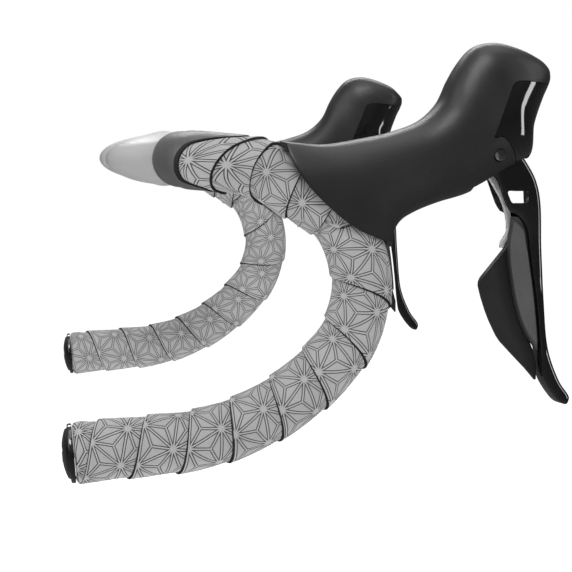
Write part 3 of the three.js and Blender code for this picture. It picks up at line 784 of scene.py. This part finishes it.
def make_tape():
    points, faces, kinds = lattice()
    lean = np.interp(points[:, 0], LEAN_AT, LEAN) * (1 - (points[:, 1] - ROW_FROM_EDGE) / ROW_SPACING)
    u = points[:, 0] + np.interp(points[:, 0], DRIFT_AT, DRIFT) + lean
    d = points[:, 1] + np.interp(points[:, 0], SHIFT_AT, SHIFT)
    run, _, _ = strip_run(u, d)
    work = bmesh.new()
    rise_layer = work.verts.layers.float.new("rise")
    verts = []
    for place, rise in zip(zip(u, d, run), points[:, 2]):
        vert = work.verts.new(place)
        vert[rise_layer] = rise
        verts.append(vert)
    for face, kind in zip(faces, kinds):
        made = work.faces.new([verts[k] for k in face])
        made.material_index = kind
    bmesh.ops.remove_doubles(work, verts=work.verts, dist=NEAR)
    for spot, normal in (
        ((0, 0, 0), (0, -1, 0)),
        ((0, STRIP_REACH, 0), (0, 1, 0)),
        ((0, 0, TAPE_START), (0, 0, -1)),
        ((0, 0, BAR_LENGTH), (0, 0, 1)),
    ):
        everything = work.verts[:] + work.edges[:] + work.faces[:]
        bmesh.ops.bisect_plane(
            work, geom=everything, dist=NEAR, plane_co=spot, plane_no=normal, clear_outer=True
        )
    work.verts.index_update()
    flat = np.array([v.co[:2] for v in work.verts])
    shares = strip_run(flat[:, 0], flat[:, 1])[2]
    covered = [face for face in work.faces if all(shares[v.index] < HIDDEN_SHARE for v in face.verts)]
    bmesh.ops.delete(work, geom=covered, context="FACES")
    rim = [edge for edge in work.edges if len(edge.link_faces) == 1]
    open_edge = {edge for edge in rim if all(abs(v.co.y) < 0.03 for v in edge.verts)}
    below = {}
    for vert in {v for edge in rim for v in edge.verts}:
        below[vert] = work.verts.new(vert.co)
        if abs(vert.co.y) < 0.03:
            below[vert].co.y -= CUT_SLANT
        below[vert][rise_layer] = UNDERSIDE
    for edge in rim:
        a, b = edge.verts
        wall = work.faces.new([a, b, below[b], below[a]])
        wall.material_index = CUT_EDGE if edge in open_edge else PAD
    work.verts.index_update()
    flat = np.array([v.co[:2] for v in work.verts])
    rises = np.array([v[rise_layer] for v in work.verts])
    run, turn, share = strip_run(flat[:, 0], flat[:, 1])
    radius = strip_radius(run, turn, share, np.maximum(rises, -1))
    under = mix(BAR_RADIUS + GAP, TAPE_LOW + 0.1, smooth_step(0.72, 0.86, share))
    radius = np.where(rises == UNDERSIDE, np.minimum(under, radius - 0.3), radius)
    placed = around_bar(run, turn, radius)
    for vert, place in zip(work.verts, placed):
        vert.co = place
    bmesh.ops.recalc_face_normals(work, faces=work.faces)
    mesh = bpy.data.meshes.new("wound_tape")
    work.to_mesh(mesh)
    work.free()
    for made in (TAPE_RIDGE, TAPE_GROOVE, TAPE_PAD, TAPE_CUT_AND_EDGE_SHADE):
        mesh.materials.append(made)
    obj = bpy.data.objects.new("wound_tape", mesh)
    bpy.context.scene.collection.objects.link(obj)
    outward(obj)
    place_pair(obj, None, "bar", "bar_tape", sharp=50)


def outward(obj):
    """Turns an open skin to face away from the bar's middle line, judged by a sample of its faces."""
    mesh = obj.data
    total = 0.0
    for index in range(0, len(mesh.polygons), max(1, len(mesh.polygons) // 400)):
        face = mesh.polygons[index]
        centre = np.array(face.center)
        nearest = PATH[np.argmin(((PATH - centre) ** 2).sum(1))]
        total += float(np.array(face.normal) @ (centre - nearest)) * face.area
    if total < 0:
        mesh.flip_normals()


make_tape()


# Finishing tape: two turns of thin band, the outer lying over the inner with a fine step, and its last
# 2 mm by the edge painted near-black as painted shade along that edge

def make_finishing_tape():
    around = 72
    turn = np.linspace(0, 2 * math.pi, around, endpoint=False)
    runs = np.concatenate([
        [FINISH_START, FINISH_START + 0.15, FINISH_START + 0.5],
        np.linspace(FINISH_START + 1.2, FINISH_END - 1.2, 54),
        [FINISH_END - 0.5, FINISH_END - 0.15, FINISH_END],
    ])
    rings = []
    longer = finish_edge(turn) - FINISH_END
    for run in runs:
        lain = run + longer * np.clip((run - FINISH_START - 3) / (FINISH_END - FINISH_START - 5), 0, 1)
        lap = smooth_step(TAPE_START - 6, TAPE_START + 2, lain)
        base = mix(FINISH_RADIUS, FINISH_LAP, lap)
        wind = (lain - FINISH_START) / 15 + turn / (2 * math.pi)
        layer = 0.16 * (1 - np.mod(wind, 1)) ** 0.6
        from_rim = min(run - FINISH_START, FINISH_END - run)
        over = 0.35 * (1 - min(1, from_rim / 0.5)) ** 2
        rings.append(around_bar(lain, turn, base - 0.16 + layer - over))
    for start, end, radius in (
        (finish_edge(turn), TAPE_START + 1, TUCKED_RADIUS),
        (np.full(around, TAPE_START - 1), FINISH_START, BAR_RADIUS),
    ):
        for share in np.linspace(0, 1, 14):
            rings.append(around_bar(mix(start, end, share), turn, np.full(around, radius + GAP)))
    band = loft("finishing_band", np.array(rings), [BAND, TAPE_CUT_AND_EDGE_SHADE], closed=True)
    # The band's last millimetres by its edge get the near-black material: painted shade along the edge
    kinds = np.zeros((len(rings), around), np.int32)
    kinds[:len(runs)][FINISH_END - runs < BAND_EDGE_SHADE] = 1
    band.data.polygons.foreach_set("material_index", kinds.ravel())
    place_pair(band, None, "bar", "finishing_tape", sharp=32)


make_finishing_tape()


# End plug

def end_matrix():
    centre, along, _, _ = bar_at(BAR_LENGTH)
    turn = Vector((0, 1, 0)).rotation_difference(Vector(along))
    return Matrix.Translation(Vector(centre)) @ turn.to_matrix().to_4x4()


def make_end_cap():
    rim = CAP_RIM
    profile = [
        (2.75, GAP), (CAP_RADIUS - 0.5, GAP), (CAP_RADIUS - 0.12, GAP + 0.12), (CAP_RADIUS, GAP + 0.5),
        (CAP_RADIUS, rim - 0.9), (CAP_RADIUS - 0.1, rim - 0.45), (CAP_RADIUS - 0.4, rim - 0.12),
        (CAP_RADIUS - 0.9, rim), (CAP_RADIUS - 1.2, rim - 0.14), (CAP_RADIUS - 1.5, rim - 0.16),
        (CAP_RADIUS - 1.9, rim + 0.1),
    ]
    for share in np.linspace(0.82, 0.36, 12):
        profile.append((CAP_RADIUS * share, rim + CAP_DOME * (1 - share ** 2.2)))
    lip = profile[-1][1]
    profile += [(4.75, lip - 0.12), (4.55, lip - 0.5), (4.5, rim + 0.1), (2.75, rim + 0.1)]
    cap = turned("plug_dome", profile, 72, [GLOSS], closed=True)
    place_pair(cap, end_matrix(), "bar", "end_cap", sharp=40)


make_end_cap()


# Hood and glossy front, from sections along the grip and up the horn

HOOD_ROWS = [
    ((-36, 8.9), (20.5, -43), 17),
    ((-15, 7.2), (21.3, -35), 17.8),
    ((4, 9.8), (24.5, -30), 17.6),
    ((21, 13.4), (32, -25.6), 17),
    ((36, 19), (44, -21.2), 16.6),
    ((45.8, 27.9), (60, -16.6), 17),
    ((51.5, 39.5), (80, -6), 17.6),
    ((57.2, 48.5), (92.5, 1), 17.2),
    ((64, 55), (94.5, 16), 16.4),
    ((74, 57.2), (99, 29), 14.8),
    ((86, 54.4), (103, 38), 12),
    ((96, 50), (103.2, 42.5), 8),
]


def centripetal(points, share):
    """A point of a centripetal Catmull-Rom curve, with its points evenly spread over the share."""
    points = [np.array(p, float) for p in points]
    last = len(points) - 1
    index = min(int(share * last), last - 1)
    weight = share * last - index
    p1, p2 = points[index], points[index + 1]
    p0 = points[index - 1] if index > 0 else 2 * points[0] - points[1]
    p3 = points[index + 2] if index + 2 <= last else 2 * points[last] - points[last - 1]
    t0, t1, t2 = (max(np.linalg.norm(b - a), 1e-8) ** 0.5 for a, b in ((p0, p1), (p1, p2), (p2, p3)))
    leave = ((p1 - p0) / t0 - (p2 - p0) / (t0 + t1) + (p2 - p1) / t1) * t1
    arrive = ((p2 - p1) / t1 - (p3 - p1) / (t1 + t2) + (p3 - p2) / t2) * t1
    return (
        p1
        + leave * weight
        + (3 * p2 - 3 * p1 - 2 * leave - arrive) * weight ** 2
        + (2 * p1 - 2 * p2 + leave + arrive) * weight ** 3
    )


HOOD_TOP = [row[0] for row in HOOD_ROWS]
HOOD_LOW = [row[1] for row in HOOD_ROWS]
HOOD_HALF = [(row[2], k) for k, row in enumerate(HOOD_ROWS)]


def squared(value):
    return np.sign(value) * np.abs(value) ** 0.85


def bow(share, turn):
    """How far the flanks reach back over the bar at the hood's rear edge."""
    off_top = np.minimum(turn, 2 * math.pi - turn)
    across = np.sin(math.pi * (off_top - BOW_FROM) / (BOW_TO - BOW_FROM))
    return REAR_BOW * np.maximum(0, across) * max(0, 1 - share / BOW_REACH) ** 2


def hood_ring(share, inset, around):
    turn = np.linspace(0, 2 * math.pi, around, endpoint=False)
    top, low = centripetal(HOOD_TOP, share), centripetal(HOOD_LOW, share)
    arm = (top - low) / 2
    reach = np.linalg.norm(arm)
    back = np.array([-arm[1], arm[0]]) / reach
    arm = arm / reach * (reach - inset)
    middle = (top + low) / 2
    plane = middle + squared(np.cos(turn))[:, None] * arm + bow(share, turn)[:, None] * back
    half = (centripetal(HOOD_HALF, share)[0] - inset) * squared(np.sin(turn))
    return np.stack([plane[:, 0], half, plane[:, 1]], -1)


def hood_form(name, inset, start, end, around=96, steps=110, soft=False):
    shares = list(np.linspace(start, end, steps))
    rings = [(share, inset) for share in shares]
    if soft:
        rings = (
            [(start, inset + 1.1), (start + 0.002, inset + 0.45), (start + 0.005, inset + 0.1)]
            + [(s, inset) for s in shares if start + 0.008 < s < end - 0.014]
            + [(end - 0.012, inset + 0.1), (end - 0.006, inset + 0.6)]
            + [(end - 0.002, inset + 1.3), (end, inset + 2.4)]
        )
    return loft(name, np.array([hood_ring(s, i, around) for s, i in rings]), fan=True)


def tube_on_bar(name, radius, start, end, around=64):
    turn = np.linspace(0, 2 * math.pi, around, endpoint=False)
    runs = np.linspace(start, end, math.ceil((end - start) / 2.5))
    rings = [around_bar(np.full(around, run), turn, np.full(around, float(radius))) for run in runs]
    return loft(name, np.array(rings))


def front_region(margin):
    corners = [(68, 24), (68, 11.4), (72.5, 11.2), (76.6, 8), (82.6, -1.5), (84, -14)]
    edge = smooth_curve(corners, 6, closed=False)
    edge = [p for p in edge if -1.8 <= p[1] <= 12.5]
    outline = (
        [(78 - margin, 35.8)]
        + [(p[0] - margin * 0.5, p[1] - margin) for p in edge]
        + [
            (82.6, -30), (125, -30), (125, 36 + margin), (101, 36.3 + margin), (93.5, 37.4 + margin),
            (86, 38 + margin), (82, 38 + margin), (79.4, 37.2 + margin),
        ]
    )
    return plate("region", outline, 30)


def lever_slot():
    outline = from_pivot([
        (-11.1, -47), (-11.1, 2), (-7.7, 7.4), (0, 10.2), (8.3, 9), (19.5, 0.4), (20.7, -3.4),
        (53.3, -3.4), (53.3, -47),
    ])
    return plate("slot", outline, SLOT_HALF)


def pin_space(radius):
    space = turned("pin_space", [(radius, -40), (radius, 40)], 40)
    space.data.transform(Matrix.Translation((PIVOT[0], 0, PIVOT[1])))
    return space


def make_hood():
    hood = hood_form("hood", 0, 0, 1, soft=True)
    cut(hood, hood_form("inside", HOOD_WALL, 0.1, 0.985, around=64, steps=60))
    cut(hood, to_bracket(tube_on_bar("tape_space", TAPE_HIGH + 2 * GAP, FINISH_END + 2, 370)))
    cut(hood, front_region(GAP), lever_slot(), pin_space(PIN_RADIUS + GAP))
    paint(hood, RUBBER)
    place_pair(hood, bracket_matrix(), "bar", "lever_hood", sharp=34)


def make_front_cap():
    cap = hood_form("front_shell", 0, 0.3, 1, soft=True)
    cut(cap, hood_form("inside", HOOD_WALL, 0.32, 0.985, around=64, steps=60))
    boolean(cap, front_region(0), "INTERSECT")
    cut(cap, lever_slot(), pin_space(PIN_RADIUS + 2))
    paint(cap, GLOSS)
    place_pair(cap, bracket_matrix(), "bar", "front_cap", sharp=34)


make_hood()
make_front_cap()


# Brake lever, its pin and the shift controls

def lever_outline():
    front = [
        (17.4, -2.4), (23.2, -12.3), (26.1, -25.6), (27.6, -50.4), (28.9, -71.8), (31.3, -95.6),
        (37.4, -112), (43.2, -120.4), (43.6, -123.4), (41.8, -125.4), (37, -122.6), (30.3, -113),
        (28.3, -104), (26.8, -88), (24.9, -71), (21.5, -49), (19.4, -37), (14.8, -30.8), (9.6, -27.9),
    ]
    rear = [(9.6, -27.9), (7.4, -24.6), (5.2, -19.2), (3.4, -14.5), (1.7, -10.4)]
    angles = np.linspace(math.pi * 1.38, math.pi * 0.4, 22)
    eye = [(8 * math.cos(a), 8 * math.sin(a)) for a in angles]
    outline = (
        [tuple(p) for p in smooth_curve(rear, 5, closed=False)][1:]
        + [(-2.4, -8)]
        + eye
        + [(7.1, 5.4), (11.6, 3), (14.8, 0.4)]
        + [tuple(p) for p in smooth_curve(front, 7, closed=False)]
    )
    return from_pivot(outline)


def make_blade():
    blade = plate("brake_lever", lever_outline(), BLADE_HALF, round_over=BLADE_ROUND)
    for vert in blade.data.vertices:
        below = PIVOT[1] - vert.co.z
        vert.co.y *= mix(1, BLADE_LOW_HALF / BLADE_HALF, float(smooth_step(20, 46, below)))
        vert.co.y *= mix(1, BLADE_TIP_SHARE, float(smooth_step(90, 128, below)))
    channel = from_pivot([
        (-11.7, 12), (8.3, 12), (9.7, 2.2), (15.7, -5.6), (20.7, -14), (22.5, -22), (23, -28),
        (17.5, -30.4), (-1.7, -32), (-1.7, -11.4), (-11.7, -11.4),
    ])
    window = smooth_curve(
        from_pivot([
            (7.6, -17.8), (12, -17.7), (17.9, -17.8), (18.6, -18.6), (18.5, -22.4), (17.4, -23.5),
            (13, -23.6), (9.9, -23.4), (8.4, -21),
        ]),
        4,
    )
    inner = from_pivot([(8.6, -16.8), (23.2, -16.8), (23.6, -24.2), (10.8, -24.2)])
    cam = from_pivot([(-5.1, -9.4), (-5.1, -2.6), (-3.5, 3.4), (1.3, 4.6), (4.3, -1), (3.3, -9.4)])
    cut(blade, plate("channel", channel, CHANNEL_HALF))
    cut(blade, plate("window", window, BLADE_HALF, BLADE_HALF))
    cut(blade, plate("inner", inner, BLADE_HALF, -BLADE_HALF))
    join(blade, plate("cam", cam, CAM_HALF, CAM_Y))
    cut(blade, pin_space(PIN_RADIUS + GAP))
    paint(blade, GLOSS)
    place_pair(blade, bracket_matrix(), "brake_lever_{side}", "brake_blade", sharp=30)


def make_pin():
    end = [
        (0.05, PIN_HALF - 0.5), (1.9, PIN_HALF - 0.45), (2.5, PIN_HALF - 0.1), (2.8, PIN_HALF - 0.02),
        (PIN_RADIUS, PIN_HALF - 0.3),
    ]
    profile = end + [(r, -y) for r, y in end[::-1]]
    pin = turned("pivot_screw", profile, 36, [SATIN])
    pin.data.transform(Matrix.Translation((PIVOT[0], 0, PIVOT[1])))
    place_pair(pin, bracket_matrix(), "bar", "pivot_pin", sharp=30)


def make_arm():
    outline = from_pivot([
        (3.2, -9.7), (5.8, -13), (9.9, -20), (11.8, -24.4), (12.9, -28.3), (13.6, -33), (13.8, -37.4),
        (13, -39.6), (11.6, -41.6), (10.1, -44), (9, -46.2), (7.6, -46), (7.8, -43.8), (8.6, -42.2),
        (10.8, -39.2), (11.4, -37.4), (11.2, -33), (10.4, -29), (9.1, -24.8), (7.4, -21), (3.4, -14.6),
        (0.2, -9.7),
    ])
    arm = plate("control_arm", outline, ARM_HALF, ARM_Y, round_over=0.3, materials=[CHROME])
    place_pair(arm, bracket_matrix(), "brake_lever_{side}", "shift_arm", sharp=40)


def ribs(outline, height, spacing=1.1, lean=0.8):
    """Fine slanting ribs over a plate with this outline, as tall as the height on either side."""
    p = np.array(outline)
    low, high = p.min(0), p.max(0)
    points, faces = [], []
    z = low[1] - (high[0] - low[0]) * lean
    while z < high[1]:
        base = len(points)
        for x in (low[0] - 1, high[0] + 1):
            rise = (x - low[0]) * lean
            for y in (-height, height):
                points += [(x, y, z + rise - 0.3), (x, y, z + rise + 0.3)]
        a = base
        faces += [
            (a, a + 1, a + 3, a + 2), (a + 4, a + 6, a + 7, a + 5), (a, a + 2, a + 6, a + 4),
            (a + 1, a + 5, a + 7, a + 3), (a, a + 4, a + 5, a + 1), (a + 2, a + 3, a + 7, a + 6),
        ]
        z += spacing
    obj = link_mesh("grip_ribs", points, faces, [])
    face_out(obj)
    return obj


def make_upper_button():
    outline = from_pivot(smooth_curve([
        (12.4, -31.6), (13.6, -31.7), (17, -35), (18.5, -37.4), (19.3, -43), (20.6, -49.5), (23.9, -71),
        (25.8, -88), (26.2, -97), (24.6, -95.4), (18.8, -86), (14.3, -72.6), (11.5, -57.6), (10.6, -50),
        (10.5, -42), (11.5, -36.8),
    ], 5))
    button = plate("upper_button", outline, BUTTON_HALF, BUTTON_Y, round_over=0.4)
    centre = np.array(outline).mean(0)
    panel = [tuple(centre + (np.array(p) - centre) * 0.93) for p in outline]
    grip = ribs(outline, RIB_HEIGHT)
    grip.data.transform(Matrix.Translation((0, RIB_Y, 0)))
    boolean(grip, plate("panel", panel, 1, RIB_Y), "INTERSECT")
    paint(grip, HATCH_RIB)
    paint(button, HATCH)
    body, slot = "upper_button_{side}", "hatched_grip"
    place_pair(grip, bracket_matrix(), body, None, sharp=30)
    place_pair(button, bracket_matrix(), body, "upper_shift_button", sharp=30)


def make_lower_paddle():
    outline = from_pivot([
        (12.1, -41), (9.1, -46.7), (3.6, -53), (-0.6, -57.8), (-3.2, -60.8), (-4.1, -62.8),
        (-4.2, -64.9), (-2.7, -70.6), (-0.5, -77), (1.7, -82.4), (4.1, -87.2), (5.8, -90.4),
        (7.8, -93.2), (14.6, -100.2), (21.6, -107.2), (26.7, -113), (27.2, -112.4), (27.2, -105),
        (25.2, -97.6), (22.8, -91.6), (20.8, -87), (18.8, -80), (17.2, -73), (15.8, -65), (14.6, -57),
        (13.8, -49.5), (13.6, -41),
    ])
    paddle = plate("lower_paddle", outline, PADDLE_HALF, PADDLE_Y, round_over=0.7, materials=[SATIN])
    paddle.data.transform(Matrix.Translation((PADDLE_FORWARD, 0, 0)))
    body, slot = "lower_paddle_{side}", "satin_black"
    place_pair(paddle, bracket_matrix(), body, "lower_shift_paddle", sharp=40)


make_blade()
make_pin()
make_arm()
make_upper_button()
make_lower_paddle()


# Carried-over parts inside the bracket, the clamp and the plug

def dress(node, made):
    for side in SIDES:
        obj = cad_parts[f"{node}_{side}"]
        obj.data.materials.clear()
        obj.data.materials.append(made)


dress("plug_sleeve", PLUG)
dress("plug_wedge", PLUG)
dress("plug_screw", STEEL)
dress("clamp_band", STEEL)
dress("clamp_bolt", STEEL)
dress("bracket_body", CAST)
dress("master_cylinder", ANODISED)
dress("piston", STEEL)
dress("return_spring", STEEL)
